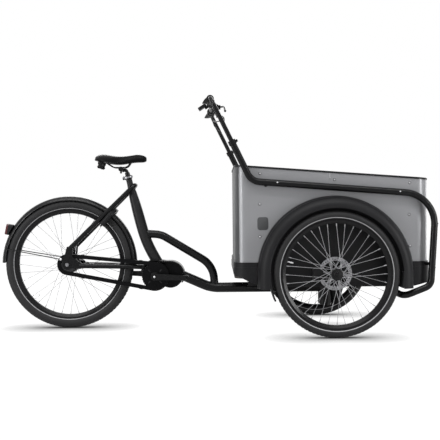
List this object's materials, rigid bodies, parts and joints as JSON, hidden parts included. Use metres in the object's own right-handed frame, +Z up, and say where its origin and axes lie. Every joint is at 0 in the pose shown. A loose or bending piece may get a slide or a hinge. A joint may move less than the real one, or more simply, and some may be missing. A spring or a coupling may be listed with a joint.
{
  "type": "cargo tricycle",
  "caption": "Front-loading cargo tricycle with a steered cargo box on two wheels, mid motor drive, low step-through frame and tall push bar.",
  "frame": {"origin": "ground point midway along the length, on the centre plane", "axes": "+X forward, +Y to the rider's left, +Z up"},
  "size_m": [2.1719, 0.88, 1.165],
  "materials": {
    "satin_black_paint": "satin powder coat",
    "black_aluminium": "black anodised",
    "black_plastic": "fine grain",
    "bright_steel": "bright",
    "grey_panel": "satin grey lacquer",
    "dark_panel": "satin dark grey lacquer",
    "floor_board": "phenolic faced ply",
    "tyre_rubber": "matte",
    "soft_rubber": "matte",
    "saddle_vinyl": "fine grain vinyl",
    "red_lens": "clear red"
  },
  "bodies": {
    "rear_frame": {"seat_tube": "satin_black_paint", "loop_tube": "satin_black_paint", "main_beam": "satin_black_paint", "steering_head": "satin_black_paint", "motor_bracket": "satin_black_paint", "motor_housing": "black_aluminium", "chain_stays": "satin_black_paint", "seat_stays": "satin_black_paint", "dropouts": "satin_black_paint", "rear_axle": "bright_steel", "chain_case": "black_plastic", "drive_chain": "bright_steel", "rear_fender": "black_plastic", "fender_stays": "bright_steel", "tail_light_housing": "black_plastic", "tail_light_lens": "red_lens", "ring_lock": "black_plastic", "seat_clamp": "black_aluminium"},
    "rear_wheel": {"rear_tyre": "tyre_rubber", "rear_rim": "satin_black_paint", "rear_spokes": "bright_steel", "rear_hub": "black_aluminium"},
    "crank_set": {"crank_right": "black_aluminium", "crank_left": "black_aluminium", "chainring": "bright_steel"},
    "sprocket": {"rear_sprocket": "bright_steel"},
    "seat": {"seat_post": "black_aluminium", "saddle_rails": "bright_steel", "saddle": "saddle_vinyl", "saddle_bumpers": "soft_rubber"},
    "clamp_lever": {"seat_clamp_lever": "bright_steel"},
    "front_module": {"front_chassis": "satin_black_paint", "hub_carriers": "satin_black_paint", "brake_calipers": "black_aluminium", "box_floor": "floor_board", "rear_panel": "dark_panel", "front_panel": "grey_panel", "side_panels": "grey_panel", "top_trim": "black_plastic", "lower_skirt": "black_plastic", "wheel_arches": "black_plastic", "side_rails": "satin_black_paint", "rail_fittings": "satin_black_paint"},
    "left_wheel": {"left_tyre": "tyre_rubber", "left_rim": "satin_black_paint", "left_spokes": "bright_steel", "left_hub": "black_aluminium", "left_rotor": "bright_steel"},
    "right_wheel": {"right_tyre": "tyre_rubber", "right_rim": "satin_black_paint", "right_spokes": "bright_steel", "right_hub": "black_aluminium", "right_rotor": "bright_steel"},
    "steering_bar": {"handlebar": "satin_black_paint", "grips": "soft_rubber", "lever_bodies": "black_aluminium", "control_unit": "black_plastic", "brake_hoses": "soft_rubber"},
    "lever_left": {"brake_lever_left": "black_aluminium"},
    "lever_right": {"brake_lever_right": "black_aluminium"}
  },
  "joints": [
    {"name": "steering", "type": "hinge", "parent": "rear_frame", "child": "front_module", "pos_m": [0.59789, 0, 0.18], "axis": [0, 0, 1], "range_deg": [-30, 30]},
    {"name": "left_wheel_spin", "type": "hinge", "parent": "front_module", "child": "left_wheel", "pos_m": [0.59789, 0.405, 0.3], "axis": [0, 1, 0], "continuous": true},
    {"name": "right_wheel_spin", "type": "hinge", "parent": "front_module", "child": "right_wheel", "pos_m": [0.59789, -0.405, 0.3], "axis": [0, 1, 0], "continuous": true},
    {"name": "rear_wheel_spin", "type": "hinge", "parent": "rear_frame", "child": "rear_wheel", "pos_m": [-0.73411, 0, 0.3335], "axis": [0, 1, 0], "continuous": true},
    {"name": "crank_spin", "type": "hinge", "parent": "rear_frame", "child": "crank_set", "pos_m": [-0.28711, 0, 0.268], "axis": [0, 1, 0], "continuous": true},
    {"name": "sprocket_spin", "type": "hinge", "parent": "rear_frame", "child": "sprocket", "pos_m": [-0.73411, -0.054, 0.3335], "axis": [0, 1, 0], "continuous": true},
    {"name": "seat_height", "type": "slide", "parent": "rear_frame", "child": "seat", "axis": [-0.2534, 0, 0.9673], "range_m": [0, 0.12]},
    {"name": "clamp_lever_swing", "type": "hinge", "parent": "rear_frame", "child": "clamp_lever", "pos_m": [-0.44858, -0.017, 0.78033], "axis": [0.2534, 0, -0.9673], "range_deg": [0, 110]},
    {"name": "bar_height", "type": "slide", "parent": "front_module", "child": "steering_bar", "axis": [-0.4338, 0, 0.901], "range_m": [-0.03, 0.05]},
    {"name": "left_brake", "type": "hinge", "parent": "steering_bar", "child": "lever_left", "pos_m": [0.05029, 0.178, 1.119], "axis": [0, 0, 1], "range_deg": [0, 16], "stiffness_Nm_per_rad": 2, "springref_deg": -5.73},
    {"name": "right_brake", "type": "hinge", "parent": "steering_bar", "child": "lever_right", "pos_m": [0.05029, -0.178, 1.119], "axis": [0, 0, -1], "range_deg": [0, 16], "stiffness_Nm_per_rad": 2, "springref_deg": -5.73}
  ],
  "couplings": [
    {"joint": "sprocket_spin", "follows": "crank_spin", "ratio": 1.4545}
  ]
}
